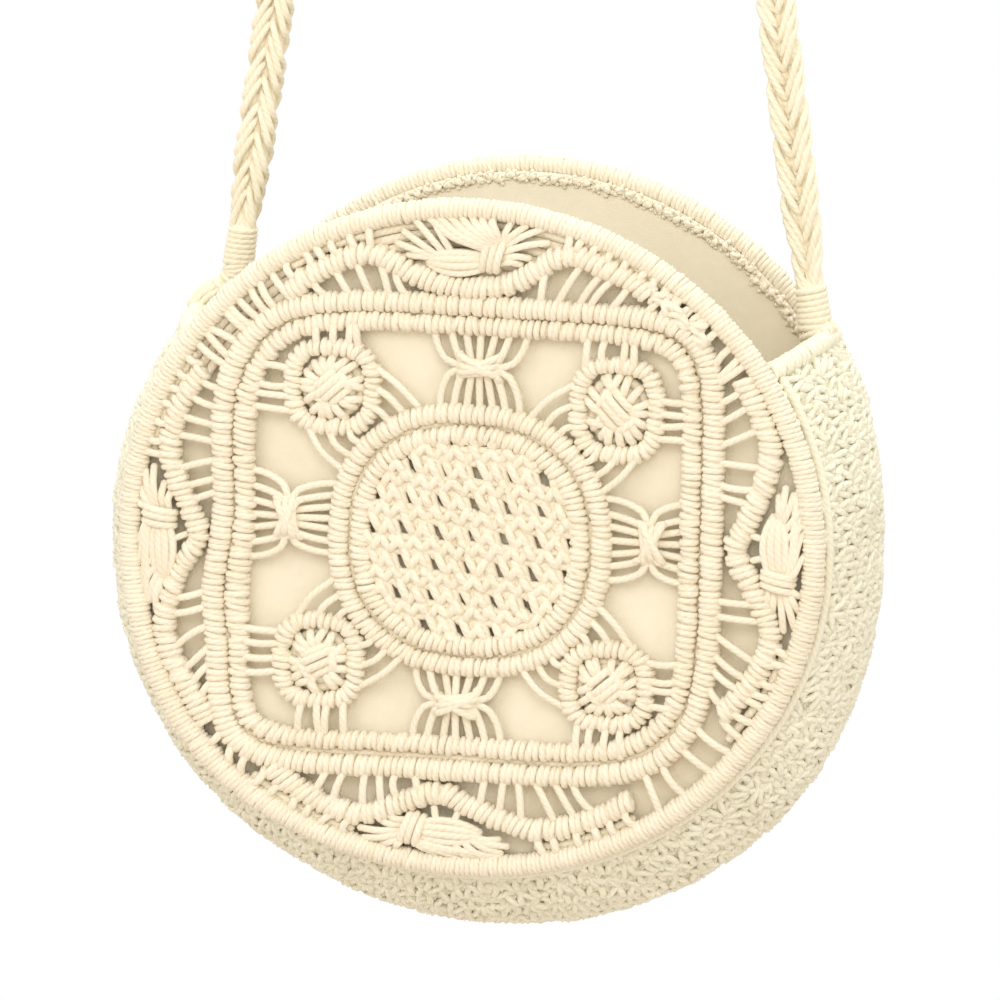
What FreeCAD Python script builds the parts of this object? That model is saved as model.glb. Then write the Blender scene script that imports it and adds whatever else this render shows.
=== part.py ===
import FreeCAD, Part
import math
import os
import Sketcher

# A round knotted bag that hangs by its strap. Two wrapped hoops hold knotted panels with a cloth lining
# behind them, a soft bulging gusset joins the hoops below the mouth, and a plaited strap rises from the
# gusset's two ends. Millimetres, X to the right, Z up, front towards -Y. The origin is where the strap's
# top bend rests on what it hangs from.

# Driving dimensions: alias, value and what it measures.
SIZES = (
    ("panel_radius", 110, "outside of each round panel, over its rim"),
    ("bag_depth", 80, "between the middles of the two rims"),
    ("hang_height", 560, "from the panels' centres up to the hanging point"),
    ("clearance", 0.3, "between neighbouring soft pieces"),
    ("wrap_radius", 4.3, "section of the wrapped rim"),
    ("hoop_radius", 2.0, "section of the hoop inside the rim"),
    ("hoop_fit", 0.05, "between the hoop and its wrapping"),
    ("lining_thickness", 0.8, "lining cloth"),
    ("ridge_radius", 3.1, "section of a ridge of hitches"),
    ("ridge_gap", 0.8, "between two ridges that run side by side"),
    ("frame_corner", 25, "corner of the outer frame ridge"),
    ("frame_lean", 43.3, "degrees from level to the frame's corner"),
    ("side_window", 25, "from the frame to the medallion, to either side"),
    ("top_window", 21, "from the frame to the medallion, above and below"),
    ("medallion_flat", 10.3, "half of the medallion's straight side"),
    ("net_thickness", 4.4, "knotted field in the medallion"),
    ("net_pitch", 10.4, "between the field's gaps"),
    ("net_hole_radius", 1.1, "one gap in the field"),
    ("rosette_cord_radius", 2.5, "section of a rosette's ring"),
    ("rosette_inner_gap", 1.5, "from the medallion to a rosette"),
    ("rosette_outer_gap", 8.0, "from a rosette to the frame"),
    ("berry_half_height", 2.9, "knot in a rosette's middle"),
    ("butterfly_frame_width", 30, "gathered cords where they leave the frame"),
    ("butterfly_waist", 12, "gathered cords at their knot"),
    ("butterfly_medallion_width", 25, "gathered cords where they meet the medallion"),
    ("butterfly_thickness", 4.4, "gathered cords"),
    ("chevron_radius", 2.4, "section of a chevron ridge"),
    ("corner_room", 13, "degrees from a chevron's end to the frame's corner"),
    ("eye_half_length", 10, "flat knot between a chevron and the rim"),
    ("eye_half_height", 5.5, "the same knot, across"),
    ("eye_half_thickness", 2.8, "the same knot, through"),
    ("eye_rim_gap", 1.5, "from that knot to the rim"),
    ("snap_radius", 9, "magnetic snap"),
    ("snap_thickness", 2.2, "magnetic snap's disc"),
    ("snap_margin", 8, "from the snap's patch to the lining's edge"),
    ("patch_margin", 4, "cloth patch around the snap"),
    ("stud_radius", 2.5, "snap's stud"),
    ("stud_length", 1.8, "snap's stud beyond its disc"),
    ("stud_fit", 0.4, "between the stud and its socket"),
    ("gusset_wall", 4, "knotted gusset"),
    ("gusset_bulge", 12, "how far the gusset swells past the rims, at the sides"),
    ("gusset_sag", 8, "how far the gusset's middle hangs down"),
    ("anchor_angle", 31, "degrees from level to the gusset's ends"),
    ("roll_radius", 3.2, "rolled hem at the gusset's ends"),
    ("foot_radius", 3.6, "knuckle where the strap leaves the gusset"),
    ("foot_length", 12, "the same knuckle, along its axis"),
    ("neck_radius", 5.2, "gathered strap inside its whipping"),
    ("neck_start", 6, "from the knuckle's axis up to the whipping"),
    ("whipping_cord_radius", 1.0, "whipping cord"),
    ("whipping_pitch", 2.6, "from one whipping turn to the next"),
    ("whipping_turns", 7, "whipping turns, a whole number"),
    ("strap_width", 15, "plaited strap, across"),
    ("strap_thickness", 10, "plaited strap, through"),
    ("hook_radius", 20, "bend of the strap where it hangs"),
)

# Dimensions that follow from the driving ones, so that pieces which meet keep meeting.
FITS = (
    ("rim_path", "sizes.panel_radius - sizes.wrap_radius"),
    ("rim_inside", "fits.rim_path - sizes.wrap_radius"),
    ("lining_radius", "fits.rim_inside - sizes.clearance"),
    ("lining_back", "sizes.ridge_radius + sizes.clearance + sizes.lining_thickness"),
    ("ridge_step", "2 * sizes.ridge_radius + sizes.ridge_gap"),
    ("frame_reach", "fits.rim_inside - sizes.clearance - sizes.ridge_radius - sizes.frame_corner"),
    ("frame_width", "fits.frame_reach * cos(sizes.frame_lean) + sizes.frame_corner"),
    ("frame_height", "fits.frame_reach * sin(sizes.frame_lean) + sizes.frame_corner"),
    ("ridge_room", "sizes.ridge_radius + sizes.clearance"),
    ("medallion_width", "fits.frame_width - fits.ridge_step - 2 * fits.ridge_room - sizes.side_window"),
    ("medallion_height", "fits.frame_height - fits.ridge_step - 2 * fits.ridge_room - sizes.top_window"),
    ("medallion_corner", "min(fits.medallion_width; fits.medallion_height) - sizes.medallion_flat"),
    ("net_inset", "fits.ridge_step + fits.ridge_room"),
    ("net_columns", "2 * trunc((fits.medallion_width - fits.net_inset) / sizes.net_pitch - 0.5) + 1"),
    ("net_rows", "2 * trunc((fits.medallion_height - fits.net_inset) / sizes.net_pitch - 0.5) + 1"),
    ("rosette_from", "(fits.medallion_width + fits.medallion_height - 2 * fits.medallion_corner) / sqrt(2)"
        " + fits.medallion_corner + sizes.ridge_radius + sizes.rosette_inner_gap"),
    ("rosette_to", "fits.frame_reach + sizes.frame_corner - fits.ridge_step - sizes.ridge_radius"
        " - sizes.rosette_outer_gap"),
    ("rosette_place", "(fits.rosette_from + fits.rosette_to) / 2 / sqrt(2)"),
    ("rosette_ring", "(fits.rosette_to - fits.rosette_from) / 2 - sizes.rosette_cord_radius"),
    ("berry_radius", "fits.rosette_ring - sizes.rosette_cord_radius - sizes.clearance"),
    ("chevron_path", "fits.rim_inside - sizes.clearance - sizes.chevron_radius"),
    ("chevron_reach", "min(sizes.frame_lean; 90 - sizes.frame_lean) - sizes.corner_room"),
    ("chevron_room", "sizes.ridge_radius + sizes.clearance + sizes.chevron_radius"),
    ("eye_place", "fits.rim_inside - sizes.eye_rim_gap - sizes.eye_half_height"),
    ("patch_radius", "sizes.snap_radius + sizes.patch_margin"),
    ("snap_place", "fits.lining_radius - sizes.snap_margin - fits.patch_radius"),
    ("patch_face", "fits.lining_back + sizes.lining_thickness"),
    ("gusset_half", "sizes.bag_depth / 2 - sizes.wrap_radius - sizes.clearance"),
    ("gusset_rim", "fits.rim_path + sizes.gusset_wall"),
    ("gusset_middle", "sizes.panel_radius + sizes.gusset_bulge"),
    ("gusset_anchor", "sqrt(fits.gusset_middle ^ 2 - (sizes.gusset_sag * cos(sizes.anchor_angle)) ^ 2)"
        " - sizes.gusset_sag * sin(sizes.anchor_angle)"),
    ("mouth_top", "2 * fits.gusset_middle"),
    ("roll_path", "fits.gusset_anchor - sizes.gusset_wall / 2"),
    ("roll_sag", "fits.roll_path - fits.rim_path - sizes.gusset_wall / 2"),
    ("roll_bend", "(fits.gusset_half ^ 2 + fits.roll_sag ^ 2) / (2 * fits.roll_sag)"),
    ("roll_sweep", "2 * asin(fits.gusset_half / fits.roll_bend) / 1 deg"),
    ("roll_lift", "sizes.roll_radius + sizes.clearance"),
    ("hinge_x", "fits.roll_path * cos(sizes.anchor_angle) - fits.roll_lift * sin(sizes.anchor_angle)"),
    ("hinge_z", "fits.roll_path * sin(sizes.anchor_angle) + fits.roll_lift * cos(sizes.anchor_angle)"
        " + fits.roll_lift + sizes.foot_radius"),
    ("strap_bend", "sizes.hook_radius + sizes.strap_width / 2"),
    ("strap_rise", "sizes.hang_height - fits.hinge_z - sizes.hook_radius"),
    ("strap_run", "sqrt(fits.hinge_x ^ 2 + fits.strap_rise ^ 2 - fits.strap_bend ^ 2)"),
    ("strap_lean", "(atan2(fits.hinge_x; fits.strap_rise) - atan2(fits.strap_bend; fits.strap_run)) / 1 deg"),
    ("whipping_path", "sizes.neck_radius + sizes.clearance + sizes.whipping_cord_radius"),
    ("neck_length", "sizes.whipping_turns * sizes.whipping_pitch + 2 * sizes.whipping_cord_radius"
        " + sizes.clearance"),
)

ALONG_X = FreeCAD.Vector(1, 0, 0)
ALONG_Y = FreeCAD.Vector(0, 1, 0)
ALONG_Z = FreeCAD.Vector(0, 0, 1)
UPRIGHT = FreeCAD.Rotation(ALONG_X, 90)

doc = FreeCAD.newDocument("CircleBag")
sizes = doc.addObject("Spreadsheet::Sheet", "sizes")
for row, (alias, value, note) in enumerate(SIZES, 1):
    sizes.set(f"A{row}", alias)
    sizes.set(f"B{row}", str(value))
    sizes.setAlias(f"B{row}", alias)
    sizes.set(f"C{row}", note)
doc.recompute()
fits = doc.addObject("App::VarSet", "fits")
for name, formula in FITS:
    fits.addProperty("App::PropertyFloat", name)
    fits.setExpression(name, formula)
doc.recompute()
nodes = []


# Helpers that bind pieces to the dimensions

def bind(piece, **formulas):
    for name, formula in formulas.items():
        piece.setExpression(name, formula)
    return piece


def primitive(kind, **formulas):
    return bind(doc.addObject(f"Part::{kind}", kind), **formulas)


def move(piece, x="0", y="0", z="0"):
    for axis, formula in (("x", x), ("y", y), ("z", z)):
        piece.setExpression(f"Placement.Base.{axis}", formula)
    return piece


def turn(piece, rotation):
    piece.Placement = FreeCAD.Placement(piece.Placement.Base, rotation)
    return piece


def turn_by(piece, axis, formula):
    turn(piece, FreeCAD.Rotation(axis, 1))
    piece.setExpression("Placement.Rotation.Angle", formula)
    return piece


def combine(kind, label, pieces):
    whole = doc.addObject(f"Part::{kind}", label)
    if kind in ("Cut", "Fuse"):
        whole.Base, whole.Tool = pieces
    elif kind == "Compound":
        whole.Links = pieces
    else:
        whole.Shapes = pieces
    return whole


def name_node(piece, label):
    piece.Label = label
    nodes.append(piece)
    return piece


# A panel is drawn lying flat, with X to its right, Y to its top and Z out of the bag, and is then stood up.

def seat_on_panel(piece, side, lift="0", rise="0"):
    outward = "-" if side == "front" else ""
    facing = UPRIGHT if side == "front" else FreeCAD.Rotation(ALONG_Z, 180) * UPRIGHT
    turn(piece, facing)
    return move(piece, y=f"{outward}(sizes.bag_depth / 2 + {lift})", z=f"{rise} - sizes.hang_height")


def quarter_turned(x, y, quarter):
    return ((x, y), (f"-({y})", x), (f"-({x})", f"-({y})"), (y, f"-({x})"))[quarter]


# Sketches

def start_sketch(body, name, role):
    sketch = body.newObject("Sketcher::SketchObject", name)
    plane = next(feature for feature in body.Origin.OriginFeatures if feature.Role == role)
    sketch.AttachmentSupport = (plane, "")
    sketch.MapMode = "FlatFace"
    return sketch


def dimension(sketch, formula, kind, *where):
    index = sketch.addConstraint(Sketcher.Constraint(kind, *where, number(formula)))
    sketch.setExpression(f"Constraints[{index}]", formula)


def number(formula):
    return float(fits.evalExpression(formula))


def draw_rounded_rectangle(sketch, half_width, half_height, corner):
    wide, high, bend = number(half_width), number(half_height), number(corner)
    far, top = wide - bend, high - bend
    corners = ((far, top), (-far, top), (-far, -top), (far, -top))
    sides = (
        ((wide, -top), (wide, top)),
        ((far, high), (-far, high)),
        ((-wide, top), (-wide, -top)),
        ((-far, -high), (far, -high)),
    )
    for quarter, (side, centre) in enumerate(zip(sides, corners)):
        sketch.addGeometry(Part.LineSegment(*(FreeCAD.Vector(*point, 0) for point in side)))
        circle = Part.Circle(FreeCAD.Vector(*centre, 0), ALONG_Z, bend)
        sketch.addGeometry(Part.ArcOfCircle(circle, quarter * math.pi / 2, (quarter + 1) * math.pi / 2))
    for edge in range(8):
        sketch.addConstraint(Sketcher.Constraint("Tangent", edge, 2, (edge + 1) % 8, 1))
    for edge, direction in ((0, "Vertical"), (2, "Horizontal"), (4, "Vertical"), (6, "Horizontal")):
        sketch.addConstraint(Sketcher.Constraint(direction, edge))
    for arc in (3, 5, 7):
        sketch.addConstraint(Sketcher.Constraint("Equal", 1, arc))
    dimension(sketch, corner, "Radius", 1)
    dimension(sketch, half_width, "DistanceX", -1, 1, 0, 1)
    dimension(sketch, half_width, "DistanceX", 4, 1, -1, 1)
    dimension(sketch, half_height, "DistanceY", -1, 1, 2, 1)
    dimension(sketch, half_height, "DistanceY", 6, 1, -1, 1)


def draw_circle(sketch, radius, x, y="0"):
    centre = FreeCAD.Vector(number(x), number(y), 0)
    sketch.addGeometry(Part.Circle(centre, ALONG_Z, number(radius)))
    dimension(sketch, radius, "Radius", 0)
    for kind, formula in (("DistanceX", x), ("DistanceY", y)):
        dimension(sketch, formula, kind, -1, 1, 0, 3)


# Panel pieces

def rim_hoop(side):
    return primitive("Torus", Radius1="fits.rim_path", Radius2="sizes.hoop_radius")


def rim_wrap(side):
    outside = primitive("Torus", Radius1="fits.rim_path", Radius2="sizes.wrap_radius")
    inside = primitive("Torus", Radius1="fits.rim_path", Radius2="sizes.hoop_radius + sizes.hoop_fit")
    return combine("Cut", "RimWrap", (outside, inside))


def ridge_loop(half_width, half_height, corner):
    body = doc.addObject("PartDesign::Body", "Ridge")
    spine = start_sketch(body, "RidgeSpine", "XY_Plane")
    draw_rounded_rectangle(spine, half_width, half_height, corner)
    profile = start_sketch(body, "RidgeProfile", "XZ_Plane")
    draw_circle(profile, "sizes.ridge_radius", half_width)
    doc.recompute()
    pipe = body.newObject("PartDesign::AdditivePipe", "RidgePipe")
    pipe.Profile = profile
    pipe.Spine = (spine, [f"Edge{edge}" for edge in range(1, 9)])
    return body


def frame_outer(side):
    return ridge_loop("fits.frame_width", "fits.frame_height", "sizes.frame_corner")


def frame_inner(side):
    return ridge_loop("fits.frame_width - fits.ridge_step", "fits.frame_height - fits.ridge_step",
                      "sizes.frame_corner - fits.ridge_step")


def medallion_outer(side):
    return ridge_loop("fits.medallion_width", "fits.medallion_height", "fits.medallion_corner")


def medallion_inner(side):
    return ridge_loop("fits.medallion_width - fits.ridge_step", "fits.medallion_height - fits.ridge_step",
                      "fits.medallion_corner - fits.ridge_step")


def centre_net(side):
    body = doc.addObject("PartDesign::Body", "Net")
    field = start_sketch(body, "NetField", "XY_Plane")
    field.setExpression("AttachmentOffset.Base.z", "-sizes.ridge_radius")
    draw_rounded_rectangle(field, "fits.medallion_width - fits.net_inset",
                           "fits.medallion_height - fits.net_inset", "fits.medallion_corner - fits.net_inset")
    pad = body.newObject("PartDesign::Pad", "NetPad")
    pad.Profile = field
    pad.setExpression("Length", "sizes.net_thickness")
    across = "(fits.net_columns - 1) * sizes.net_pitch"
    down = "(fits.net_rows - 1) * sizes.net_pitch"
    first = start_sketch(body, "NetFirstGap", "XY_Plane")
    draw_circle(first, "sizes.net_hole_radius", f"-{across} / 2", f"-{down} / 2")
    doc.recompute()
    gap = body.newObject("PartDesign::Pocket", "NetGap")
    gap.Profile = first
    gap.Type = "ThroughAll"
    gap.Midplane = True
    doc.recompute()
    grid = body.newObject("PartDesign::LinearPattern", "NetGaps")
    grid.Originals = [gap]
    grid.Direction = (first, ["H_Axis"])
    grid.Direction2 = (first, ["V_Axis"])
    bind(grid, Length=across, Length2=down, Occurrences="fits.net_columns", Occurrences2="fits.net_rows")
    body.Tip = grid
    return body


def at_four_corners(make, half_height):
    place = "fits.rosette_place"
    lift = f"{half_height} - sizes.ridge_radius"
    return [move(make(), *quarter_turned(place, place, quarter), z=lift) for quarter in range(4)]


def rosette_rings(side):
    def ring():
        return primitive("Torus", Radius1="fits.rosette_ring", Radius2="sizes.rosette_cord_radius")
    return combine("Compound", "RosetteRings", at_four_corners(ring, "sizes.rosette_cord_radius"))


def rosette_berries(side):
    def berry():
        return primitive("Ellipsoid", Radius1="sizes.berry_half_height", Radius2="fits.berry_radius",
                         Radius3="fits.berry_radius")
    return combine("Compound", "RosetteBerries", at_four_corners(berry, "sizes.berry_half_height"))


def butterfly(medallion_edge, window, quarter):
    start = f"({medallion_edge} + fits.ridge_room)"
    half = f"({window} / 2)"
    cords = []
    for end_width, spread in (("sizes.butterfly_medallion_width", 180), ("sizes.butterfly_frame_width", 0)):
        wing = primitive("Wedge", Xmin="-sizes.butterfly_waist / 2", Xmax="sizes.butterfly_waist / 2",
                         Ymin="0", Ymax=half, Zmin="-sizes.butterfly_thickness / 2",
                         Zmax="sizes.butterfly_thickness / 2", X2min=f"-{end_width} / 2",
                         X2max=f"{end_width} / 2", Z2min="-sizes.butterfly_thickness / 2",
                         Z2max="sizes.butterfly_thickness / 2")
        cords.append(turn(wing, FreeCAD.Rotation(ALONG_Z, spread)))
    bow = combine("Fuse", "Butterfly", cords)
    turn(bow, FreeCAD.Rotation(ALONG_Z, 90 * quarter))
    middle = f"({start} + {half})"
    lift = "sizes.butterfly_thickness / 2 - sizes.ridge_radius"
    return move(bow, *quarter_turned("0", middle, quarter), z=lift)


def butterfly_knots(side):
    upright = ("fits.medallion_height", "sizes.top_window")
    level = ("fits.medallion_width", "sizes.side_window")
    bows = [butterfly(*(level if quarter % 2 else upright), quarter) for quarter in range(4)]
    return combine("Compound", "ButterflyKnots", bows)


def chevron_arm(apex, quarter, right):
    # An arc from the chevron's point beside the frame to where it runs along the rim.
    reach, path = "fits.chevron_reach", "fits.chevron_path"
    centre = f"(({path} ^ 2 - {apex} ^ 2) / (2 * ({path} - {apex} * cos({reach}))))"
    bend = f"({path} - {centre})"
    aside, along = f"{centre} * sin({reach})", f"{centre} * cos({reach})"
    to_apex = f"(atan2({aside}; {apex} - {along}) / 1 deg)"
    trim = f"(asin((sizes.chevron_radius + sizes.clearance) / {bend}) / 1 deg)"
    arm = primitive("Torus", Radius1=bend, Radius2="sizes.chevron_radius",
                    Angle3=f"{reach} + {to_apex} - {trim}")
    start = f"90 - {reach}" if right else f"90 - {to_apex} + {trim}"
    turn_by(arm, ALONG_Z, f"{start} + {90 * quarter}")
    x = aside if right else f"-({aside})"
    return move(arm, *quarter_turned(x, along, quarter), z="sizes.chevron_radius - sizes.ridge_radius")


def chevron_ridges(side):
    apexes = ("(fits.frame_height + fits.chevron_room)", "(fits.frame_width + fits.chevron_room)")
    arms = [chevron_arm(apexes[quarter % 2], quarter, right) for quarter in range(4) for right in (True, False)]
    return combine("Compound", "ChevronRidges", arms)


def eye_knots(side):
    knots = []
    for quarter in range(4):
        knot = primitive("Ellipsoid", Radius1="sizes.eye_half_thickness", Radius2="sizes.eye_half_length",
                         Radius3="sizes.eye_half_height")
        turn(knot, FreeCAD.Rotation(ALONG_Z, 90 * quarter))
        place = quarter_turned("0", "fits.eye_place", quarter)
        knots.append(move(knot, *place, z="sizes.eye_half_thickness - sizes.ridge_radius"))
    return combine("Compound", "EyeKnots", knots)


def lining(side):
    return primitive("Cylinder", Radius="fits.lining_radius", Height="sizes.lining_thickness")


def snap_patch(side):
    return primitive("Cylinder", Radius="fits.patch_radius", Height="sizes.lining_thickness")


def snap_half(side):
    # The front half carries the stud and the back half the socket.
    disc = primitive("Cylinder", Radius="sizes.snap_radius", Height="sizes.snap_thickness")
    if side == "front":
        stud = primitive("Cylinder", Radius="sizes.stud_radius",
                         Height="sizes.snap_thickness + sizes.stud_length")
        move(stud, z="-sizes.stud_length")
        return combine("Fuse", "SnapStud", (disc, stud))
    socket = primitive("Cylinder", Radius="sizes.stud_radius + sizes.stud_fit",
                       Height="sizes.snap_thickness / 2")
    return combine("Cut", "SnapSocket", (disc, socket))


PANEL_PIECES = (rim_hoop, rim_wrap, frame_outer, frame_inner, medallion_outer, medallion_inner, centre_net,
                rosette_rings, rosette_berries, butterfly_knots, chevron_ridges, eye_knots)


def make_panel(side):
    for make in PANEL_PIECES:
        name_node(seat_on_panel(make(side), side), f"{side}_{make.__name__}")
    name_node(seat_on_panel(lining(side), side, lift="-fits.lining_back"), f"{side}_lining")
    name_node(seat_on_panel(snap_patch(side), side, lift="-fits.patch_face", rise="fits.snap_place"),
              f"{side}_snap_patch")
    snap = seat_on_panel(snap_half(side), side, lift="-(fits.patch_face + sizes.snap_thickness)",
                         rise="fits.snap_place")
    name_node(snap, f"{side}_snap_stud" if side == "front" else f"{side}_snap_socket")


# Gusset

def barrel(rim_radius, middle_radius):
    sections = []
    for radius, y, z in ((rim_radius, "-fits.gusset_half", "0"),
                         (middle_radius, "0", "-sizes.gusset_sag"),
                         (rim_radius, "fits.gusset_half", "0")):
        circle = turn(primitive("Circle", Radius=radius), UPRIGHT)
        sections.append(move(circle, y=y, z=z))
    loft = doc.addObject("Part::Loft", "Barrel")
    loft.Sections = sections
    loft.Solid = True
    return loft


def mouth_cut():
    wide = "fits.mouth_top / tan(sizes.anchor_angle)"
    wedge = primitive("Wedge", Xmin=f"-{wide}", Xmax=wide, Ymin="-fits.mouth_top", Ymax="0",
                      Zmin="-sizes.bag_depth", Zmax="sizes.bag_depth", X2min="0", X2max="0",
                      Z2min="-sizes.bag_depth", Z2max="sizes.bag_depth")
    return turn(wedge, FreeCAD.Rotation(ALONG_X, -90))


def gusset_layer(label, depth, thickness):
    outer = barrel(f"fits.gusset_rim - {depth}", f"fits.gusset_middle - {depth}")
    inner = barrel(f"fits.gusset_rim - {depth} - {thickness}", f"fits.gusset_middle - {depth} - {thickness}")
    ring = combine("Cut", "GussetRing", (outer, inner))
    band = combine("Cut", label, (ring, mouth_cut()))
    return name_node(move(band, z="-sizes.hang_height"), label)


def end_roll(label, hand):
    circle = turn(primitive("Circle", Radius="sizes.roll_radius"), UPRIGHT)
    move(circle, x="fits.roll_path")
    roll = bind(doc.addObject("Part::Revolution", label), Angle="fits.roll_sweep")
    roll.Source = circle
    roll.Axis = ALONG_Z
    roll.Symmetric = True
    roll.Solid = True
    roll.setExpression("Base.x", "fits.roll_path - fits.roll_bend")
    angle = "sizes.anchor_angle" if hand > 0 else "180 - sizes.anchor_angle"
    turn_by(roll, -ALONG_Y, angle)
    move(roll, x=f"{-hand} * fits.roll_lift * sin(sizes.anchor_angle)",
         z="fits.roll_lift * cos(sizes.anchor_angle) - sizes.hang_height")
    return name_node(roll, label)


def make_gusset():
    gusset_layer("gusset_band", "0", "sizes.gusset_wall")
    gusset_layer("gusset_lining", "(sizes.gusset_wall + sizes.clearance)", "sizes.lining_thickness")
    end_roll("gusset_end_roll_left", -1)
    end_roll("gusset_end_roll_right", 1)


# Strap

def seat_at_hinge(piece, hand):
    return move(piece, x=f"{hand} * fits.hinge_x", z="fits.hinge_z - sizes.hang_height")


def lean_inward(piece, hand):
    return turn_by(piece, -ALONG_Y if hand > 0 else ALONG_Y, "fits.strap_lean")


def strap_foot(label, hand):
    knuckle = primitive("Cylinder", Radius="sizes.foot_radius", Height="sizes.foot_length")
    turn(knuckle, FreeCAD.Rotation(ALONG_Y, 90))
    move(knuckle, x="-sizes.foot_length / 2")
    neck = primitive("Cone", Radius1="sizes.foot_radius", Radius2="sizes.neck_radius",
                     Height="sizes.neck_start")
    foot = combine("Fuse", label, (knuckle, lean_inward(neck, hand)))
    return name_node(seat_at_hinge(foot, hand), label)


def strap_run(label, hand):
    neck = primitive("Cylinder", Radius="sizes.neck_radius", Height="fits.neck_length")
    move(neck, z="sizes.neck_start")
    section = primitive("Ellipse", MajorRadius="sizes.strap_width / 2", MinorRadius="sizes.strap_thickness / 2")
    plait = doc.addObject("Part::Extrusion", "Plait")
    plait.Base = section
    plait.DirMode = "Custom"
    plait.Dir = ALONG_Z
    plait.Solid = True
    bind(plait, LengthFwd="fits.strap_run - sizes.neck_start - fits.neck_length")
    move(plait, z="sizes.neck_start + fits.neck_length")
    run = combine("Fuse", label, (neck, plait))
    return name_node(seat_at_hinge(lean_inward(run, hand), hand), label)


def strap_crown(label):
    section = primitive("Ellipse", MajorRadius="sizes.strap_width / 2", MinorRadius="sizes.strap_thickness / 2")
    turn(section, FreeCAD.Rotation(ALONG_Y, -90))
    move(section, z="fits.strap_bend")
    crown = bind(doc.addObject("Part::Revolution", label), Angle="180 - 2 * fits.strap_lean")
    crown.Source = section
    crown.Axis = ALONG_Y
    crown.Symmetric = True
    crown.Solid = True
    return name_node(move(crown, z="-sizes.hook_radius"), label)


def biarc(start, start_way, end, end_way):
    # Two tangent arcs of equal tangent length between two points with given directions.
    span = end - start
    both = start_way + end_way
    a = both.dot(both) - 4
    b = -2 * span.dot(both)
    c = span.dot(span)
    reach = (-b - math.sqrt(b * b - 4 * a * c)) / (2 * a)
    first, second = start + start_way * reach, end - end_way * reach
    middle = (first + second) / 2
    arcs = []
    for begin, corner, finish in ((start, first, middle), (middle, second, end)):
        chord = (begin + finish) / 2
        half_turn = (corner - begin).getAngle(finish - corner) / 2
        rise = reach / math.tan(half_turn) * (1 - math.cos(half_turn))
        through = chord + (corner - chord).normalize() * rise
        arcs.append(Part.Arc(begin, through, finish).toShape())
    return arcs


def strap_whipping(label, hand):
    radius, cord = fits.whipping_path, sizes.whipping_cord_radius
    pitch, turns = sizes.whipping_pitch, int(sizes.whipping_turns)
    bottom = sizes.neck_start + cord
    climb = pitch / (2 * math.pi)

    def place(angle):
        return FreeCAD.Vector(radius * math.cos(angle), radius * math.sin(angle), bottom + climb * angle)

    def heading(angle):
        return FreeCAD.Vector(-radius * math.sin(angle), radius * math.cos(angle), climb).normalize()

    quarters = [quarter * math.pi / 2 for quarter in range(4 * turns + 1)]
    tail = 2 * cord
    before = place(quarters[0]) - heading(quarters[0]) * tail
    after = place(quarters[-1]) + heading(quarters[-1]) * tail
    edges = [Part.LineSegment(before, place(quarters[0])).toShape()]
    for this, following in zip(quarters, quarters[1:]):
        edges += biarc(place(this), heading(this), place(following), heading(following))
    edges.append(Part.LineSegment(place(quarters[-1]), after).toShape())
    path = Part.Wire(edges)
    section = Part.Wire(Part.Circle(before, heading(quarters[0]), cord).toShape())
    whipping = doc.addObject("Part::Feature", label)
    whipping.Shape = path.makePipeShell([section], True, False)
    steps_a_turn = 48
    points = [place(2 * math.pi * step / steps_a_turn) for step in range(steps_a_turn * turns + 1)]
    apart = min(one.distanceToPoint(other) for index, one in enumerate(points)
                for other in points[index + steps_a_turn // 2:])
    print(f"{label}: least gap between turns {apart - 2 * cord:.2f} mm")
    return name_node(seat_at_hinge(lean_inward(whipping, hand), hand), label)


def make_strap():
    for side, hand in (("left", -1), ("right", 1)):
        strap_foot(f"strap_foot_{side}", hand)
        strap_whipping(f"strap_whipping_{side}", hand)
        strap_run(f"strap_run_{side}", hand)
    strap_crown("strap_crown")


def check_and_write():
    doc.recompute()
    for piece in doc.Objects:
        if "Invalid" in piece.State or "Error" in piece.State:
            raise RuntimeError(f"{piece.Label} failed: {piece.State}")
    for node in nodes:
        if node.Shape.isNull() or not node.Shape.isValid():
            raise RuntimeError(f"{node.Label} has no valid shape")
    os.makedirs("parts", exist_ok=True)
    for node in nodes:
        node.Shape.exportStep(f"parts/{node.Label}.step")
        print(f"{node.Label}: {len(node.Shape.Solids)} solids, {node.Shape.Volume:.1f} mm3")


make_panel("front")
make_panel("back")
make_gusset()
make_strap()
check_and_write()
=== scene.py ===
# The circle bag's looks: every ridge, knot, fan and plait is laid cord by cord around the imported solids.
# Lengths are in millimetres until a mesh is made. Panel points are (u, v, d): right, up and out of the
# panel, from the middle of its rim. The back panel is the front one turned half round.

import math

import bpy
import numpy as np
from mathutils import Matrix, Vector


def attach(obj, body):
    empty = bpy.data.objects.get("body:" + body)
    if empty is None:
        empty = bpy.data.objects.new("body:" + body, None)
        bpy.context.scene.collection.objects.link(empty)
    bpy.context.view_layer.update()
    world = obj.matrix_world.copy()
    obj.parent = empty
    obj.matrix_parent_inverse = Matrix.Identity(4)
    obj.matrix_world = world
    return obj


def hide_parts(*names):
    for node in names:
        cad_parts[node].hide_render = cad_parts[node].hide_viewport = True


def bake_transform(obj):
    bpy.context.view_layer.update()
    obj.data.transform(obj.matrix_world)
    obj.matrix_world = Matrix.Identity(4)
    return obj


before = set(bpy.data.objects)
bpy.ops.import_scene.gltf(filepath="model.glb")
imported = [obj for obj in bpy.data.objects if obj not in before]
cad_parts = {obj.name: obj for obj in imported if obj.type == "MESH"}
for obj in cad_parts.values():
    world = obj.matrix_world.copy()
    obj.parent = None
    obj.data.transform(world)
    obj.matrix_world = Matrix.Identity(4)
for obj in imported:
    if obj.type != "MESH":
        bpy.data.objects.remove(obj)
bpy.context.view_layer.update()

MM = 0.001
TURN = 2 * math.pi
CENTRE_Z = -560.0
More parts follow.
